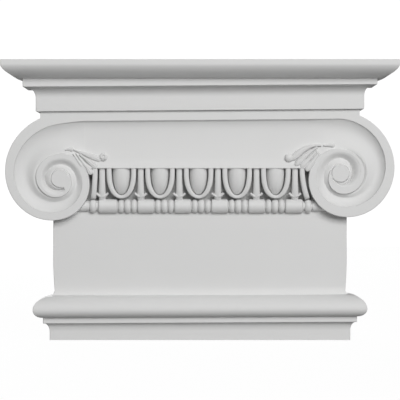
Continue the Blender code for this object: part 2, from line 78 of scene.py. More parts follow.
def newObject(name, bm, hidden=False):
    bmesh.ops.recalc_face_normals(bm, faces=bm.faces)
    mesh = bpy.data.meshes.new(name)
    bm.to_mesh(mesh)
    bm.free()
    thing = bpy.data.objects.new(name, mesh)
    bpy.context.scene.collection.objects.link(thing)
    thing.hide_render = hidden
    return thing


# A face extruded from ring to ring. Each corner keeps its number, so rings may differ in shape.
def extrudeThrough(bm, rings):
    number = bm.verts.layers.int.get("number") or bm.verts.layers.int.new("number")
    corners = [bm.verts.new(point) for point in rings[0]]
    for i, corner in enumerate(corners):
        corner[number] = i
    face = bm.faces.new(corners)
    for step, ring in enumerate(rings[1:]):
        made = bmesh.ops.extrude_face_region(bm, geom=[face])["geom"]
        if step:
            bmesh.ops.delete(bm, geom=[face], context="FACES_ONLY")
        face = next(item for item in made if isinstance(item, bmesh.types.BMFace))
        for corner in face.verts:
            corner.co = ring[corner[number]]


def smoothStep(t):
    t = min(max(t, 0), 1)
    return t * t * (3 - 2 * t)


# A curve through all the values, read at a place along them
def along(values, place):
    last = len(values) - 1
    i = min(max(int(math.floor(place)), 0), last - 1)
    t = place - i
    before = values[i - 1] if i > 0 else 2 * values[0] - values[1]
    after = values[i + 2] if i + 2 <= last else 2 * values[last] - values[last - 1]
    a, b = values[i], values[i + 1]
    return a + t * (b - before + t * (2 * before - 5 * a + 4 * b - after
                                      + t * (3 * a - before - 3 * b + after))) / 2


# Points after start on a quarter curve to end, leaving start upright if steep and level if not
def quarter(start, end, steps, steep, curve=1):
    points = []
    for step in range(1, steps + 1):
        turn = math.radians(90 * step / steps)
        rise = math.sin(turn) ** curve
        fall = max(math.cos(turn), 0) ** curve
        if steep:
            points.append((end[0] + (start[0] - end[0]) * fall, start[1] + (end[1] - start[1]) * rise))
        else:
            points.append((start[0] + (end[0] - start[0]) * rise, end[1] + (start[1] - end[1]) * fall))
    return points


# Stacked mouldings

mouldings = dict(softEdge=0.0008, softMiddle=0.3,        # small bevels along the arrises, and their middle
                 ovoloCurve=1.19,                        # 1 is a quarter ellipse, more is flatter
                 neckHollow=0.0020, neckSweep=0.0410, neckSteps=8, footSweep=0.0024,
                 lean=0.0014, baseLean=0.0009,           # how far the lines climb to the right of the middle
                 cornerRound=0.0006, fineness=16)


# From the top down: how far out, how high, and how far the line climbs to the right of the middle
def profile():
    m, o = mouldings, out
    soft, fine = m["softEdge"], m["fineness"]
    middle = soft * m["softMiddle"]
    top = [(o["abacus"] - soft, highest.z), (o["abacus"] - middle, highest.z - middle),
           (o["abacus"], highest.z - soft), (o["abacus"], under("abacus"))]
    top += quarter((o["abacus"], under("abacus")), (o["topFillet"], under("ovolo")), fine, True,
                   m["ovoloCurve"])
    cove = [(o["topFillet"], under("topFillet") + soft / 2), (o["topFillet"] - soft / 2, under("topFillet")),
            (o["cavetto"], under("topFillet"))]
    cove += quarter((o["cavetto"], under("topFillet")), (o["fascia"], under("cavetto")), fine, False)
    cove += [(o["fascia"], bandTop + soft), (o["fascia"] - middle, bandTop + middle),
             (o["fascia"] - soft, bandTop), (0, bandTop)]
    torusLevel = under("neck")
    neck = [(0, beadFoot)]
    for step in range(m["neckSteps"] + 1):
        up = 1 - step / m["neckSteps"]
        flare = m["footSweep"] * max(0, 1 - up * m["neckSweep"] / m["footSweep"]) ** 2
        neck.append((-m["neckHollow"] * (1 - up) ** 2 + flare, torusLevel + m["neckSweep"] * up))
    foot = quarter(neck[-1], (o["torus"], under("torusTop")), fine, False)
    foot += quarter((o["torus"], under("torusTop")), (o["baseFillet"], under("torusUnder")), fine, True)
    foot += [(o["baseFillet"], under("baseFillet") + soft / 2),
             (o["baseFillet"] - soft / 2, under("baseFillet"))]
    foot += quarter((o["baseFillet"] - soft, under("baseFillet")), (o["baseFascia"], under("baseCavetto")),
                    fine, False)
    return ([(*point, 0) for point in top] + [(*point, m["lean"]) for point in cove]
            + [(*point, 0) for point in neck] + [(*point, m["baseLean"]) for point in foot]
            + [(o["baseFascia"], lowest.z, 0)])


def makeBody():
    rings = []
    for howFar, height, lean in profile():
        side, corner = halfNeck + howFar, mouldings["cornerRound"]
        plan = [(-side, sink), (-side, frontAt(howFar) + corner), (-side + corner, frontAt(howFar))]
        plan += [(-x, y) for x, y in reversed(plan)]
        rings.append([(x, y, height + lean * x / side) for x, y in plan])
    bm = bmesh.new()
    extrudeThrough(bm, rings)
    return newObject("castCapital", bm)


# Volutes and band

# Given at every quarter turn, from the top over the outside: radii of a scroll's edge, widths of its ridge,
# depths of its channel, where the channel is deepest as a share of its width, and how far it is a crease
# there, under a rolled ridge, and not a hollow. The step is the channel's sharp inner edge, and the dip is a
# groove beside it on the scroll's outer side. The channel ends at an angle, and the eye's groove runs between
# two. The inset and the drop place the eye from the neck's side and from the lip.
leftScroll = dict(side=-1, inset=0.0085, drop=0.0113, channelEnd=565,
                  radii=(0.0734, 0.0607, 0.0460, 0.0325, 0.0278, 0.0266, 0.0206, 0.0126, 0.0111, 0.0110),
                  ridges=(0.0110, 0.0098, 0.0106, 0.0080, 0.0044, 0.0050, 0.0038),
                  depths=(0.0050, 0.0068, 0.0056, 0.0048, 0.0050, 0.0072, 0.0056),
                  lows=(0.40, 0.52, 0.68, 0.54, 0.58, 0.44, 0.80),
                  creases=(0, 0, 0, 0.5, 0, 1, 1), step=0.0020, dip=0.0016, eyeGroove=(-80, 190))
rightScroll = dict(side=1, inset=0.0080, drop=0.0055, channelEnd=590,
                   radii=(0.0704, 0.0599, 0.0484, 0.0350, 0.0272, 0.0268, 0.0227, 0.0126, 0.0103, 0.0110),
                   ridges=(0.0106, 0.0100, 0.0100, 0.0085, 0.0048, 0.0045, 0.0070),
                   depths=(0.0052, 0.0064, 0.0062, 0.0056, 0.0052, 0.0074, 0.0040),
                   lows=(0.41, 0.38, 0.72, 0.60, 0.50, 0.76, 0.50),
                   creases=(0, 0, 0, 0.6, 0.3, 1, 1), step=0.0030, dip=0.0034, eyeGroove=(-112, 240))
scrolls = dict(eyeRadius=0.0109,
               notch=18, step=4,                         # angle at which the outline starts, and its steps
               rimRound=0.0009, rimSteps=4, rim=0.0090, cove=0.0050, waist=0.0050, back=0.0020, fineness=8,
               fadeIn=40, fadeOut=25,                    # angles over which the waist starts and ends
               grooveHalf=0.0015, grooveDepth=0.0016,    # round the eye
               grooveFloor=0.2,                          # share of its width that is flat below
               grooveFade=8, grooveLeast=0.1)            # how fast its ends fade in, and from what depth


def eyeOf(scroll):
    return scroll["side"] * (halfNeck - scroll["inset"]), lip - scroll["drop"]


def onScroll(scroll, angle, radius):
    x, z = eyeOf(scroll)
    turn = math.radians(angle)
    return x + scroll["side"] * radius * math.sin(turn), z + radius * math.cos(turn)


def edgeOf(scroll, angle):
    if angle >= 90 * (len(scroll["radii"]) - 1):
        return scrolls["eyeRadius"]
    return max(along(scroll["radii"], angle / 90), scrolls["eyeRadius"])


# A value of a scroll at an angle, from one of its lists
def valueAt(scroll, name, angle):
    return along(scroll[name], min(max(angle / 90, 0), len(scroll[name]) - 1))


# The angle at which a scroll's edge comes back up to the lip
def innerAngle(scroll):
    return 270 + math.degrees(math.asin(scroll["drop"] / scroll["radii"][3]))


def innerSide(scroll):
    angle = innerAngle(scroll)
    return onScroll(scroll, angle, edgeOf(scroll, angle))[0]


def scrollOutline(scroll, inset):
    points = [(scroll["side"] * (halfNeck + out["band"]), bandTop + sink)]
    start, end = scrolls["notch"], innerAngle(scroll)
    steps = round((end - start) / scrolls["step"])
    for step in range(steps + 1):
        angle = start + (end - start) * step / steps
        ease = 1
        if inset > scrolls["rimRound"]:
            ease = min(1, (angle - start) / scrolls["fadeIn"], (end - angle) / scrolls["fadeOut"])
        points.append(onScroll(scroll, angle, edgeOf(scroll, angle) - inset * ease))
    points.append((points[-1][0] - scroll["side"] * sink, lip))
    return points


# The outline of band and scrolls, taken back to the wall with a rounded rim, a cove and a waist
def makeBand():
    s, fine = scrolls, scrolls["fineness"]
    depths = []
    for k in range(s["rimSteps"], -1, -1):
        turn = math.radians(90 * k / s["rimSteps"])
        depths.append((s["rimRound"] * (1 - math.sin(turn)), s["rimRound"] * (1 - math.cos(turn))))
    for k in range(fine + 1):
        depths.append((s["rim"] + s["cove"] * k / fine, s["waist"] * smoothStep(k / fine)))
    reach = neckDepth + out["band"] + 2 * sink
    far = s["rim"] + s["cove"]
    for k in range(1, fine + 1):
        inset = s["waist"] + (s["back"] - s["waist"]) * smoothStep(2 * k / fine - 1)
        depths.append((far + (reach - far) * k / fine, inset))
    rings = []
    for depth, inset in depths:
        outline = scrollOutline(leftScroll, inset) + scrollOutline(rightScroll, inset)[::-1]
        rings.append([(x, frontAt(out["band"]) + depth, z) for x, z in outline])
    bm = bmesh.new()
    extrudeThrough(bm, rings)
    return newObject("band", bm, hidden=True)


channel = dict(depth=0.0052, low=0.28,             # in the straight band
               stations=(1, 0.94, 0.85, 0.7, 0.5, 0.25),     # of its sections there, from a scroll inwards
               wall=0.46, wallWidth=0.02,          # the steep wall's share of the depth and of the width
               wallInScroll=0.55,                  # share of the wall's height that is left in the scrolls
               wallLeast=1.2,                      # times the edge, where a rounded shoulder replaces it
               bend=0.65, bevel=0.14,              # share of the floor's rise that curves, and its steep end
               rolls=(190, 300),                   # angles between which the wall becomes that shoulder
               fallCurve=2.2, fallInBand=1.2,      # of the hollow's outer side, and more of it in the band
               rollCurve=2.2, riseCurve=1.8,       # of the ridge and of the inner side beside a crease
               depthMost=0.8, stepMost=0.5,        # shares of the width and of the depth
               stepFace=0.0010, dipWidth=0.0034,
               edge=0.0003,                        # by which a section passes the face and its own ends
               turn=5, fineness=10, crowding=0.3)  # angle between sections, and the spread of their points


# How far the floor of the straight band has come up, at a share of its way to the lip
def floorRise(share):
    bevel = max(share - 1 + channel["bevel"], 0) / channel["bevel"]
    return channel["bend"] * share ** 2 + (1 - channel["bend"]) * bevel


# Where the channel's sections stand, from the scroll's end to the middle of the band, and what each is like
def channelRows(scroll):
    rows = []
    first = innerAngle(scroll) - 360
    sag = rimFoot - onScroll(scroll, 0, edgeOf(scroll, 0) - valueAt(scroll, "ridges", 0))[1]
    count = round((scroll["channelEnd"] - first) / channel["turn"])
    for k in range(count):
        angle = scroll["channelEnd"] + (first - scroll["channelEnd"]) * k / count
        nextEdge = edgeOf(scroll, angle + 360)
        inner = onScroll(scroll, angle + 360, nextEdge)
        depth, low, step = valueAt(scroll, "depths", angle), valueAt(scroll, "lows", angle), scroll["step"]
        crease = min(max(valueAt(scroll, "creases", angle), 0), 1)
        if angle >= 0:
            outerEdge = max(edgeOf(scroll, angle) - valueAt(scroll, "ridges", angle),
                            nextEdge + mouldings["softEdge"])
            rolled = smoothStep((angle - channel["rolls"][0]) / (channel["rolls"][1] - channel["rolls"][0]))
            dip = scroll["dip"] * max(0, math.sin(math.radians(angle))) * (angle < 360)
            rows.append((onScroll(scroll, angle, outerEdge), inner, depth, low, 0, rolled, crease, step, dip))
        else:
            ease = 1 - angle / first
            low = channel["low"] + (low - channel["low"]) * ease
            outer = (inner[0], rimFoot - sag * ease ** 2)
            rows.append((outer, inner, depth, low, 1 - ease, 0, 0, step * ease, 0))
    start = innerSide(scroll)
    for share in channel["stations"]:
        rows.append(((start * share, rimFoot), (start * share, lip + channel["edge"]),
                     channel["depth"], channel["low"], 1, 0, 0, 0, 0))
    return rows


# Points across the channel, sunk below the face of the band, and then back over its front.
# In the scrolls it is a hollow, and in the straight band a cove with a floor that rises to the lip.
def channelSection(outer, inner, depth, low, straight, rolled, crease, step, dip, lean):
    a, b = Vector(outer), Vector(inner)
    a.y += lean
    width = (b - a).length
    across = (b - a) / width
    depth = min(depth, channel["depthMost"] * width)
    step = min(step, channel["stepMost"] * depth)
    edge, fine = channel["edge"], channel["fineness"]
    wall = channel["wall"] * (channel["wallInScroll"] * (1 - straight) + straight)
    least = edge * channel["wallLeast"]
    wall = least + (wall * depth - least) * (1 - rolled)
    wallWidth = channel["wallWidth"] * width
    cuts = [(-edge, -edge), (0, edge), (wallWidth, wall)]
    for k in range(1, fine + 1):
        share = (k / fine) ** (1 + channel["crowding"] * (1 - rolled))
        roll = smoothStep(share) * (1 - crease) + share ** channel["rollCurve"] * crease
        cove = 1 - (1 - share) ** (channel["fallCurve"] + channel["fallInBand"] * straight)
        fall = cove * (1 - rolled) + roll * rolled
        cuts.append((wallWidth + (low * width - wallWidth) * share, wall + (depth - wall) * fall))
    rise = (1 - low) * width
    for k in range(1, fine + 1):
        share = k / fine
        hollow = smoothStep(share) * (1 - crease) + (1 - (1 - share) ** channel["riseCurve"]) * crease
        curved = hollow * (1 - straight) + floorRise(share) * straight
        dipped = dip * max(0, 1 - rise * (1 - share) / channel["dipWidth"]) ** 2
        cuts.append((width - rise * (1 - share) - edge, depth - (depth - step) * curved + dipped))
    cuts += [(width, max(step - channel["stepFace"], 0) + edge), (width + edge, -edge)]
    face = frontAt(out["band"])
    ring = [(a.x + across.x * far, face + sunk, a.y + across.y * far) for far, sunk in cuts]
    for spot in (b + across * edge, a - across * edge):
        ring.append((spot.x, face - sink, spot.y))
    return ring


def makeChannel():
    rows = channelRows(leftScroll) + channelRows(rightScroll)[::-1]
    bm = bmesh.new()
    extrudeThrough(bm, [channelSection(*row, mouldings["lean"] * row[0][0] / halfNeck) for row in rows])
    return newObject("channel", bm, hidden=True)


# A narrow groove round an eye
def makeEyeGroove(scroll):
    start, end = scroll["eyeGroove"]
    half, face = scrolls["grooveHalf"], frontAt(out["band"])
    floor, fade, least = half * scrolls["grooveFloor"], scrolls["grooveFade"], scrolls["grooveLeast"]
    count = round((end - start) / channel["turn"])
    rings = []
    for k in range(count + 1):
        ease = min(1, fade * k / count + least, fade * (1 - k / count) + least)
        deep = scrolls["grooveDepth"] * ease + scroll["step"] / 2
        ring = []
        for aside, sunk in ((-half, 0), (-floor, deep), (floor, deep), (half, 0),
                            (half, -sink), (-half, -sink)):
            x, z = onScroll(scroll, start + (end - start) * k / count, scrolls["eyeRadius"] + aside)
            ring.append((x, face + sunk, z))
        rings.append(ring)
    bm = bmesh.new()
    extrudeThrough(bm, rings)
    return newObject("eyeGroove", bm, hidden=True)


# Raised bars that follow a line on the front. A section gives shares of the half width and of the rounded
# top, and that top takes a share of the bar's height at most.

barTop = 0.6
barRound = ((-1, 0), (-0.92, 0.38), (-0.71, 0.71), (-0.38, 0.92), (0, 1), (0.38, 0.92), (0.71, 0.71),
            (0.92, 0.38), (1, 0))
barVeined = ((-1, 0), (-0.92, 0.40), (-0.74, 0.72), (-0.50, 0.90), (-0.38, 0.80), (-0.24, 0.95), (0, 1),
             (0.24, 0.95), (0.38, 0.80), (0.50, 0.90), (0.74, 0.72), (0.92, 0.40), (1, 0))


def addBar(bm, line, widths, crests, section=barRound, back=-sink, fullness=1.0):
    rings = []
    for i, spot in enumerate(line):
        before, after = Vector(line[max(i - 1, 0)]), Vector(line[min(i + 1, len(line) - 1)])
        tangent = (after - before).normalized()
        across = Vector((-tangent.y, tangent.x)) * widths[i] / 2
        shoulder = min(widths[i] / 2 * fullness, barTop * (crests[i] - back))
        ring = [(spot[0] - across.x, frontAt(back), spot[1] - across.y)]
        for share, rise in section:
            howFar = crests[i] - shoulder * (1 - rise)
            ring.append((spot[0] + across.x * share, frontAt(howFar), spot[1] + across.y * share))
        ring.append((spot[0] + across.x, frontAt(back), spot[1] + across.y))
        rings.append(ring)
    extrudeThrough(bm, rings)


# Egg-and-dart

eggRow = dict(pitch=0.0432, shift=0.0005, footOut=0.0060, curve=2.6,
              pocket=0.0100,                   # how far the ground behind the row is cut into the neck
              drop=0.71)                       # power that draws a half ellipse out to the shape of an egg
egg = dict(halfWidth=0.0104, out=0.0131, gapBelow=0.0047, fullness=0.80,
           lastTurn=89.5, rings=22, around=40)
shell = dict(halfWidth=0.0138, width=0.0057, widthBelow=0.0038, out=0.0122, ridge=0.0012, gapBelow=0.0005,
             thinning=6,                       # power that keeps it wide until it is under the egg
             drifts=(0.0023, 0.0063),          # how far the row's end strips bend under the scrolls
             fullness=0.55, steps=56, endSteps=28)
dart = dict(width=0.0056, out=0.0116, fullness=0.7, fork=0.0028,
            shares=(1.22, 1.2, 1.18, 1.2, 1.26, 1.34, 1.42, 1.5, 1.3),       # of the width, from the lip down
            barbStart=0.1, barbReach=0.0066, barbRise=0.0038, barbWidth=0.0027, barbSteps=8)


# Front of the egg row, full at the lip and curving back to the beads
def rowOut(topOut, z):
    down = min(max((lip - z) / (lip - beadTop), 0), 1)
    return eggRow["footOut"] + (topOut - eggRow["footOut"]) * math.sqrt(max(1 - down ** eggRow["curve"], 0))


def eggPlaces():
    left, right = innerSide(leftScroll), innerSide(rightScroll)
    count = int((right - left) / eggRow["pitch"])
    middle = (left + right) / 2 + eggRow["shift"]
    return [middle + (k - (count - 1) / 2) * eggRow["pitch"] for k in range(count)]


def makeEggs():
    top, length = lip + sink / 2, lip - beadTop - egg["gapBelow"]
    bm = bmesh.new()
    for x in eggPlaces():
        rings = []
        for k in range(egg["rings"] + 1):
            turn = math.radians(egg["lastTurn"] * k / egg["rings"])
            down, size = math.sin(turn) ** eggRow["drop"], math.cos(turn)
            ring = []
            for j in range(egg["around"]):
                angle = math.tau * j / egg["around"]
                aside = math.copysign(abs(math.cos(angle)) ** egg["fullness"], math.cos(angle))
                forward = math.copysign(abs(math.sin(angle)) ** egg["fullness"], math.sin(angle))
                deep = egg["out"] if forward > 0 else eggRow["pocket"] + 2 * sink
                ring.append((x + aside * size * egg["halfWidth"], frontAt(forward * size * deep),
                             top - (length + sink / 2) * down))
            rings.append(ring)
        extrudeThrough(bm, rings)
    return newObject("eggs", bm, hidden=True)


# Ground behind the eggs, cut deep so that the gaps between them are dark
def makePocket():
    left, right = innerSide(leftScroll), innerSide(rightScroll)
    bm = bmesh.new()
    bmesh.ops.create_cube(bm, size=1)
    size = (right - left + 2 * sink, eggRow["pocket"] + sink, lip - beadTop + sink)
    place = ((left + right) / 2, frontAt(0) + (eggRow["pocket"] - sink) / 2, (lip + beadTop - sink) / 2)
    bmesh.ops.scale(bm, vec=size, verts=bm.verts)
    bmesh.ops.translate(bm, vec=place, verts=bm.verts)
    return newObject("pocket", bm, hidden=True)


# Line round an egg from the left of the lip to the right, and how far down it is
def shellLine(x):
    depth, steps = lip - beadTop - shell["widthBelow"] / 2 - shell["gapBelow"], shell["steps"]
    line, downs = [(x - shell["halfWidth"], lip + sink / 2)], [0]
    for step in range(steps + 1):
        turn = math.pi * step / steps
        down = max(math.sin(turn), 0) ** eggRow["drop"]
        line.append((x - math.cos(turn) * shell["halfWidth"], lip - depth * down))
        downs.append(down)
    return line + [(x + shell["halfWidth"], lip + sink / 2)], downs + [0]


# The strip of a shell that shows beside a scroll. It counts as half as far down, which keeps it wide.
def endShellLine(x, drift):
    shares = [k / shell["endSteps"] for k in range(shell["endSteps"] + 1)]
    line = [(x + drift * share ** 2, lip - (lip - beadTop) * share) for share in shares]
    return [(x, lip + sink / 2)] + line, [0] + [share / 2 for share in shares]


def makeShells():
    places = eggPlaces()
    bm = bmesh.new()
    lines = [shellLine(x) for x in places]
    lines.append(endShellLine(places[0] - eggRow["pitch"] + shell["halfWidth"], -shell["drifts"][0]))
    lines.append(endShellLine(places[-1] + eggRow["pitch"] - shell["halfWidth"], shell["drifts"][1]))
    for line, downs in lines:
        widths = [shell["width"] + (shell["widthBelow"] - shell["width"]) * down ** shell["thinning"]
                  for down in downs]
        crests = [rowOut(shell["out"], z) + shell["ridge"] for _, z in line]
        addBar(bm, line, widths, crests, back=-eggRow["pocket"] - sink, fullness=shell["fullness"])
    return newObject("shells", bm, hidden=True)


def dartPlaces():
    places = eggPlaces()
    return [places[0] - eggRow["pitch"] / 2] + [x + eggRow["pitch"] / 2 for x in places]


def makeDarts():
    bm = bmesh.new()
    fork, steps = beadTop + dart["fork"], len(dart["shares"]) - 2
    levels = [lip + sink / 2] + [lip - (lip - fork) * k / steps for k in range(1, steps + 1)]
    levels.append(beadTop - sink / 2)
    widths = [dart["width"] * share for share in dart["shares"]]
    crests = [rowOut(dart["out"], z) for z in levels]
    for x in dartPlaces():
        addBar(bm, [(x, z) for z in levels], widths, crests, back=-eggRow["pocket"] - sink,
               fullness=dart["fullness"])
    return newObject("darts", bm, hidden=True)


def makeBarbs():
    bm = bmesh.new()
    fork, start, steps = beadTop + dart["fork"], dart["barbStart"], dart["barbSteps"]
    shares = [start + (1 - start) * k / steps for k in range(steps + 1)]
    for x in dartPlaces():
        for side in (-1, 1):
            line = [(x + side * dart["barbReach"] * share, fork + dart["barbRise"] * share ** 2)
                    for share in shares]
            addBar(bm, line, [dart["barbWidth"]] * len(line), [rowOut(dart["out"], z) for _, z in line])
    return newObject("barbs", bm, hidden=True)


# Bead-and-reel

beadRow = dict(pitch=0.0414, shift=0.0036, bead=0.0078, reel=0.0066, groove=0.0024, axisOut=0.0016,
               rodsLonger=(0.0027, 0.0010), endGap=0.0014, endReel=0.0076, notch=0.0012,   # at the row's ends
               gap=-0.5, reelRise=0.92, rodRise=0.95,    # shares of the groove's depth
               roundness=0.7, rodEnds=10,                # of a bead's rise, and how short a rod's ends are
               steps=12, around=40)


# Start, end and kind of all that is strung along the row
def beadElements():
    left, right = innerSide(leftScroll), innerSide(rightScroll)
    groups = round((right - left) / beadRow["pitch"]) - 1
    half, reel, pitch = beadRow["bead"] / 2, beadRow["reel"], beadRow["pitch"]
    first = (left + right) / 2 + beadRow["shift"] - (groups + 1) / 2 * pitch
    elements = []
    for k in range(groups + 1):
        x = first + k * pitch
        rodStart, rodEnd = x + half + reel, x + pitch - half - reel
        if k == 0:
            rodStart -= beadRow["rodsLonger"][0]
            reelEnd = rodStart - beadRow["endGap"]
            elements.append((reelEnd - beadRow["endReel"], reelEnd, "reel"))
        else:
            elements += [(x - half - reel, x - half, "reel"), (x - half, x + half, "bead"),
                         (x + half, rodStart, "reel")]
        if k == groups:
            rodEnd += beadRow["rodsLonger"][1]
        elements.append((rodStart, rodEnd, "rod"))
    lastReel = rodEnd + beadRow["endGap"]
    return elements + [(lastReel, lastReel + beadRow["endReel"], "reel")]


# How high a bead, reel or rod is at a share of its length, as a share of the groove's depth
def beadRise(kind, share):
    if share in (0, 1):
        return beadRow["gap"]
    if kind == "rod":
        return beadRow["rodRise"] * math.sin(math.pi / 2 * min(1, beadRow["rodEnds"] * min(share, 1 - share)))
    rise = math.sin(math.pi * share) ** beadRow["roundness"]
    return rise * beadRow["reelRise"] if kind == "reel" else rise


def makeBeads():
    radius = (beadTop - beadFoot) / 2
    lowRadius = radius - beadRow["groove"]
    elements = beadElements()
    start, deep = elements[0][0], lowRadius - beadRow["notch"]
    points = [(start - beadRow["pitch"] / 2, 0), (start - beadRow["pitch"] / 2, lowRadius),
              (start - beadRow["notch"], lowRadius), (start - beadRow["notch"] / 2, deep)]
    for start, end, kind in elements:
        for k in range(beadRow["steps"] + 1):
            share = k / beadRow["steps"]
            height = lowRadius + beadRow["groove"] * beadRise(kind, share)
            points.append((start + (end - start) * share, height))
    end = elements[-1][1]
    points += [(end + beadRow["notch"] / 2, deep), (end + beadRow["notch"], lowRadius),
               (end + beadRow["pitch"] / 2, lowRadius), (end + beadRow["pitch"] / 2, 0)]
    bm = bmesh.new()
    verts = [bm.verts.new((x, 0, r)) for x, r in points]
    for a, b in zip(verts, verts[1:]):
        bm.edges.new((a, b))
    bmesh.ops.spin(bm, geom=verts + bm.edges[:], cent=(0, 0, 0), axis=(1, 0, 0), angle=math.tau,
                   steps=beadRow["around"], use_merge=True)
    bmesh.ops.remove_doubles(bm, verts=bm.verts, dist=weld)
    bmesh.ops.translate(bm, vec=(0, frontAt(beadRow["axisOut"]), (beadTop + beadFoot) / 2), verts=bm.verts)
    return newObject("beads", bm, hidden=True)


# Corner leaves. A lobe is its root and its tip, in metres inwards and up from the eye, the lift of its middle
# off the straight line between them, its width, and its height over the band at the root and at the tip. The
# last lobe is the rolled end of the root. The knob at the tip is its middle, its radius and its height over
# the ground, and it may have a curl on it.

leftLeaf = dict(scroll=leftScroll, curl=True, knob=((0.0485, 0.0240), 0.0046, 0.0042), lobes=(
    ((0.0146, 0.0279), (0.0253, 0.0129), 0.0000, 0.0042, 0.0006, 0.0008),
    ((0.0180, 0.0285), (0.0303, 0.0123), 0.0000, 0.0045, 0.0004, 0.0012),
    ((0.0269, 0.0184), (0.0357, 0.0047), 0.0000, 0.0072, 0.0006, 0.0014),
    ((0.0219, 0.0274), (0.0415, 0.0120), 0.0000, 0.0069, 0.0000, 0.0012),
    ((0.0152, 0.0324), (0.0459, 0.0207), 0.0000, 0.0068, -0.0006, -0.0004),
    ((0.0063, 0.0319), (0.0146, 0.0319), 0.0011, 0.0050, -0.0004, -0.0002)))
rightLeaf = dict(scroll=rightScroll, curl=False, knob=((0.0577, 0.0173), 0.0048, 0.0050), lobes=(
    ((0.0241, 0.0227), (0.0384, 0.0028), 0.0000, 0.0078, 0.0006, 0.0018),
    ((0.0264, 0.0255), (0.0443, 0.0065), 0.0000, 0.0062, 0.0002, 0.0012),
    ((0.0260, 0.0295), (0.0504, 0.0087), 0.0014, 0.0072, -0.0004, 0.0008),
    ((0.0215, 0.0312), (0.0543, 0.0152), 0.0052, 0.0080, -0.0006, 0.0002),
    ((0.0186, 0.0310), (0.0063, 0.0315), 0.0005, 0.0060, -0.0006, -0.0004)))
leaf = dict(rings=24, fullness=0.8,
            root=0.30, fullAt=0.9, highAt=0.8,       # width at the root, and where it is widest and highest
            tip=0.16, tipLeast=0.05, tipDrop=0.0012,           # how a lobe closes and comes down there
            veined=0.0066,                           # width above which a lobe has veins
            knobDepth=0.75, knobAround=40, knobRings=24,
            curlRadius=0.55, curlWidth=0.62,         # shares of the knob's radius
            curlRise=0.0008, curlFrom=-110, curlTurn=250, curlOpens=0.1)


# A place given inwards and up from a scroll's eye
def fromEye(scroll, place):
    x, z = eyeOf(scroll)
    return x - scroll["side"] * place[0], z + place[1]


# Front of the ground under the leaves
def groundOut(z):
    share = 1 - (z - lip) / ((1 - channel["low"]) * member["canalis"])
    return out["band"] - channel["depth"] * (1 - floorRise(min(max(share, 0), 1)))


def addLobe(bm, scroll, root, tip, lift, width, rootHeight, tipHeight):
    start, end = Vector(fromEye(scroll, root)), Vector(fromEye(scroll, tip))
    line, widths, crests = [], [], []
    for k in range(leaf["rings"] + 1):
        share = k / leaf["rings"]
        spot = start + (end - start) * share + Vector((0, lift * 4 * share * (1 - share)))
        full = leaf["root"] + (1 - leaf["root"]) * smoothStep(share / leaf["fullAt"])
        close = math.sqrt(max(1 - max(0, (share - 1 + leaf["tip"]) / leaf["tip"]) ** 2, leaf["tipLeast"]))
        line.append(spot)
        widths.append(width * full * close)
        rise = rootHeight + (tipHeight - rootHeight) * smoothStep(share / leaf["highAt"])
        crests.append(out["band"] + rise - leaf["tipDrop"] * (1 - close))
    section = barVeined if width > leaf["veined"] else barRound
    addBar(bm, line, widths, crests, section, fullness=leaf["fullness"])


# The curled tip, a flattened ball
def addKnob(bm, scroll, middle, radius, relief):
    x, z = fromEye(scroll, middle)
    deep = relief * leaf["knobDepth"]
    ball = bmesh.ops.create_uvsphere(bm, u_segments=leaf["knobAround"], v_segments=leaf["knobRings"],
                                     radius=1)["verts"]
    bmesh.ops.scale(bm, vec=(radius, deep, radius), verts=ball)
    bmesh.ops.translate(bm, vec=(x, frontAt(groundOut(z) + relief - deep), z), verts=ball)


# A narrow bar that rolls round the knob, from below over its top to the outer side
def addCurl(bm, scroll, middle, radius, relief):
    x, z = fromEye(scroll, middle)
    line = []
    for k in range(leaf["rings"] + 1):
        turn = math.radians(leaf["curlFrom"] + leaf["curlTurn"] * k / leaf["rings"])
        reach = radius * (leaf["curlRadius"] + leaf["curlOpens"] * k / leaf["rings"])
        line.append(Vector((x - scroll["side"] * reach * math.sin(turn), z + reach * math.cos(turn))))
    crest = groundOut(z) + relief + leaf["curlRise"]
    addBar(bm, line, [radius * leaf["curlWidth"]] * len(line), [crest] * len(line))


def makeLeaves():
    carved = []
    for design in (leftLeaf, rightLeaf):
        scroll, knob = design["scroll"], design["knob"]
        steps = [(addLobe, lobe) for lobe in design["lobes"]] + [(addKnob, knob)]
        if design["curl"]:
            steps.append((addCurl, knob))
        for add, sizes in steps:
            bm = bmesh.new()
            add(bm, scroll, *sizes)
            carved.append(newObject(f"leaf{len(carved)}", bm, hidden=True))
    return carved


# Putting the casting together

casting = dict(wallWidth=1, wallDepth=0.02, sharpAngle=32)


def combine(target, other, operation):
    joining = target.modifiers.new(other.name, "BOOLEAN")
    joining.operation = operation
    joining.solver = "MANIFOLD"
    joining.object = other


# What the back is cut flat with
def makeWallCutter():
    bm = bmesh.new()
    bmesh.ops.create_cube(bm, size=casting["wallWidth"])
    bmesh.ops.scale(bm, vec=(1, casting["wallDepth"] / casting["wallWidth"], 1), verts=bm.verts)
    bmesh.ops.translate(bm, vec=(0, casting["wallDepth"] / 2, 0), verts=bm.verts)
    return newObject("behindWall", bm, hidden=True)


def baked(thing):
    graph = bpy.context.evaluated_depsgraph_get()
    mesh = bpy.data.meshes.new_from_object(thing.evaluated_get(graph))
    for modifier in list(thing.modifiers):
        thing.modifiers.remove(modifier)
    thing.data = mesh


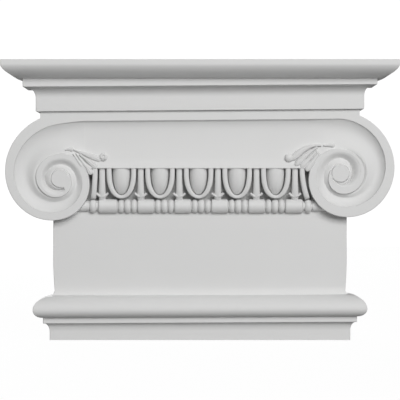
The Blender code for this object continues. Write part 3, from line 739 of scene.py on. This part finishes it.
def cleanMesh(thing):
    bm = bmesh.new()
    bm.from_mesh(thing.data)
    bmesh.ops.remove_doubles(bm, verts=bm.verts, dist=2 * weld)
    bmesh.ops.dissolve_degenerate(bm, edges=bm.edges, dist=2 * weld)
    bmesh.ops.triangulate(bm, faces=bm.faces)
    sharing = {}
    for face in bm.faces:
        sharing.setdefault(frozenset(face.verts), []).append(face)
    folded = [face for faces in sharing.values() if len(faces) > 1 for face in faces]
    bmesh.ops.delete(bm, geom=folded, context="FACES")       # two faces folded flat on each other
    print("one casting of", len(bm.faces), "triangles, open edges:",
          sum(1 for edge in bm.edges if len(edge.link_faces) != 2))
    bm.to_mesh(thing.data)
    bm.free()


def makeCapital():
    capital = makeBody()
    print("mouldings stacked")
    band, cut, pocket = makeBand(), makeChannel(), makePocket()
    combine(capital, pocket, "DIFFERENCE")
    grooves = [makeEyeGroove(leftScroll), makeEyeGroove(rightScroll)]
    for cutter in [cut] + grooves:
        combine(band, cutter, "DIFFERENCE")
    print("band and scrolls drawn")
    helpers = [makeEggs(), makeShells(), makeDarts(), makeBarbs(), makeBeads()] + makeLeaves()
    print("eggs, darts, beads and leaves carved")
    combine(capital, band, "UNION")
    for helper in helpers:
        combine(capital, helper, "UNION")
    wall = makeWallCutter()
    combine(capital, wall, "DIFFERENCE")
    baked(capital)
    for helper in [band, cut, pocket, wall] + grooves + helpers:
        bpy.data.objects.remove(helper)
    cleanMesh(capital)
    capital.data.shade_smooth()
    capital.data.set_sharp_from_angle(angle=math.radians(casting["sharpAngle"]))
    weighted = capital.modifiers.new("weighted normals", "WEIGHTED_NORMAL")
    weighted.keep_sharp = True
    return capital


# Materials

primer = dict(colour=(0.79, 0.79, 0.785), specular=0.35,
              roughness=0.55, roughnessSwing=0.06,
              mottle=0.02, mottleScale=22, mottleDetail=5,
              grainScale=900, grainDetail=3, grainBump=0.05, grainDepth=0.0003)


def primerGroup():
    group = bpy.data.node_groups.new("primed skin", "ShaderNodeTree")
    sockets = dict(INPUT=("Colour", "Mottle", "Grain"), OUTPUT=("Colour", "Roughness", "Height"))
    for way, names in sockets.items():
        for name in names:
            kind = "NodeSocketColor" if name == "Colour" else "NodeSocketFloat"
            group.interface.new_socket(name=name, in_out=way, socket_type=kind)
    nodes, links = group.nodes, group.links
    taken, given = nodes.new("NodeGroupInput"), nodes.new("NodeGroupOutput")
    place = nodes.new("ShaderNodeTexCoord")
    cloud = nodes.new("ShaderNodeTexNoise")
    cloud.inputs["Scale"].default_value = primer["mottleScale"]
    cloud.inputs["Detail"].default_value = primer["mottleDetail"]
    fine = nodes.new("ShaderNodeTexNoise")
    fine.inputs["Detail"].default_value = primer["grainDetail"]
    shift = nodes.new("ShaderNodeMapRange")
    shift.inputs["To Min"].default_value = 1
    swing = nodes.new("ShaderNodeMath")
    swing.operation = "SUBTRACT"
    swing.inputs[0].default_value = 1
    tint = nodes.new("ShaderNodeMix")
    tint.data_type = "RGBA"
    tint.blend_type = "MULTIPLY"
    tint.inputs["Factor"].default_value = 1
    rough = nodes.new("ShaderNodeMapRange")
    rough.inputs["To Min"].default_value = primer["roughness"] - primer["roughnessSwing"]
    rough.inputs["To Max"].default_value = primer["roughness"] + primer["roughnessSwing"]
    links.new(place.outputs["Object"], cloud.inputs["Vector"])
    links.new(place.outputs["Object"], fine.inputs["Vector"])
    links.new(taken.outputs["Grain"], fine.inputs["Scale"])
    links.new(taken.outputs["Mottle"], swing.inputs[1])
    links.new(swing.outputs[0], shift.inputs["To Max"])
    links.new(cloud.outputs["Fac"], shift.inputs["Value"])
    links.new(taken.outputs["Colour"], tint.inputs["A"])
    links.new(shift.outputs["Result"], tint.inputs["B"])
    links.new(tint.outputs["Result"], given.inputs["Colour"])
    links.new(fine.outputs["Fac"], rough.inputs["Value"])
    links.new(rough.outputs["Result"], given.inputs["Roughness"])
    links.new(fine.outputs["Fac"], given.inputs["Height"])
    return group


def primedWhite():
    material = bpy.data.materials.new("primed white")
    material.use_nodes = True
    nodes, links = material.node_tree.nodes, material.node_tree.links
    shader = nodes["Principled BSDF"]
    skin = nodes.new("ShaderNodeGroup")
    skin.node_tree = primerGroup()
    skin.inputs["Colour"].default_value = (*primer["colour"], 1)
    skin.inputs["Mottle"].default_value = primer["mottle"]
    skin.inputs["Grain"].default_value = primer["grainScale"]
    bump = nodes.new("ShaderNodeBump")
    bump.inputs["Strength"].default_value = primer["grainBump"]
    bump.inputs["Distance"].default_value = primer["grainDepth"]
    links.new(skin.outputs["Colour"], shader.inputs["Base Color"])
    links.new(skin.outputs["Roughness"], shader.inputs["Roughness"])
    links.new(skin.outputs["Height"], bump.inputs["Height"])
    links.new(bump.outputs["Normal"], shader.inputs["Normal"])
    shader.inputs["Specular IOR Level"].default_value = primer["specular"]
    return material


# Studio: pale floor, soft lights and the camera. The floor's glow is how much of it the camera sees as white.
# A softbox is its place, what it aims at, its size and its power.

studio = dict(cameraAway=2.0, cameraHeight=0.00145, lens=160, sensor=36,
              floorSize=8, floorColour=(0.3, 0.3, 0.3), floorRoughness=0.9, floorGlow=0.93,
              white=1.05, ambient=0.15)
softboxes = dict(key=((1.3, -4.4, 1.9), (0, -0.05, 0), (3.0, 2.4), 172),
                 fill=((-0.9, -1.6, 1.9), (0, -0.05, 0), (1.2, 1.2), 2),
                 behind=((-1.0, 3.6, 1.2), (0, 0, 0), (2.4, 2.4), 70))


def makeFloor():
    bm = bmesh.new()
    bmesh.ops.create_grid(bm, x_segments=2, y_segments=2, size=studio["floorSize"] / 2)
    bmesh.ops.translate(bm, vec=(0, 0, lowest.z), verts=bm.verts)
    floor = newObject("paleFloor", bm)
    material = bpy.data.materials.new("pale floor")
    material.use_nodes = True
    nodes, links = material.node_tree.nodes, material.node_tree.links
    shader = nodes["Principled BSDF"]
    shader.inputs["Base Color"].default_value = (*studio["floorColour"], 1)
    shader.inputs["Roughness"].default_value = studio["floorRoughness"]
    glow = nodes.new("ShaderNodeEmission")
    glow.inputs["Strength"].default_value = studio["white"]
    path = nodes.new("ShaderNodeLightPath")
    share = nodes.new("ShaderNodeMath")
    share.operation = "MULTIPLY"
    share.inputs[1].default_value = studio["floorGlow"]
    mix = nodes.new("ShaderNodeMixShader")
    links.new(path.outputs["Is Camera Ray"], share.inputs[0])
    links.new(share.outputs[0], mix.inputs["Fac"])
    links.new(shader.outputs[0], mix.inputs[1])
    links.new(glow.outputs[0], mix.inputs[2])
    links.new(mix.outputs[0], nodes["Material Output"].inputs["Surface"])
    floor.data.materials.append(material)


def addSoftbox(name, place, aim, size, power):
    lamp = bpy.data.lights.new(name, "AREA")
    lamp.shape = "RECTANGLE"
    lamp.size, lamp.size_y = size
    lamp.energy = power
    thing = bpy.data.objects.new(name, lamp)
    thing.visible_camera = False
    thing.location = place
    thing.rotation_euler = (Vector(aim) - Vector(place)).to_track_quat("-Z", "Y").to_euler()
    bpy.context.scene.collection.objects.link(thing)


def makeWorld():
    world = bpy.data.worlds.new("white studio")
    bpy.context.scene.world = world
    world.use_nodes = True
    nodes, links = world.node_tree.nodes, world.node_tree.links
    background = nodes["Background"]
    seen = nodes.new("ShaderNodeBackground")
    seen.inputs["Color"].default_value = (1, 1, 1, 1)
    seen.inputs["Strength"].default_value = studio["white"]
    background.inputs["Color"].default_value = (1, 1, 1, 1)
    background.inputs["Strength"].default_value = studio["ambient"]
    path = nodes.new("ShaderNodeLightPath")
    mix = nodes.new("ShaderNodeMixShader")
    links.new(path.outputs["Is Camera Ray"], mix.inputs["Fac"])
    links.new(background.outputs[0], mix.inputs[1])
    links.new(seen.outputs[0], mix.inputs[2])
    links.new(mix.outputs[0], nodes["World Output"].inputs["Surface"])


def makeCamera():
    data = bpy.data.cameras.new("camera")
    data.lens = studio["lens"]
    data.sensor_width = studio["sensor"]
    camera = bpy.data.objects.new("camera", data)
    camera.location = (0, frontAt(0) - studio["cameraAway"], studio["cameraHeight"])
    camera.rotation_euler = (math.radians(90), 0, 0)
    bpy.context.scene.collection.objects.link(camera)
    bpy.context.scene.camera = camera


capital = makeCapital()
capital.data.materials.clear()
capital.data.materials.append(primedWhite())
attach(capital, "root")
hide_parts("ionic_capital")
print("capital finished")

makeFloor()
makeWorld()
for name, softbox in softboxes.items():
    addSoftbox(name, *softbox)
bpy.context.scene.view_settings.view_transform = "Standard"
makeCamera()
print("studio set")
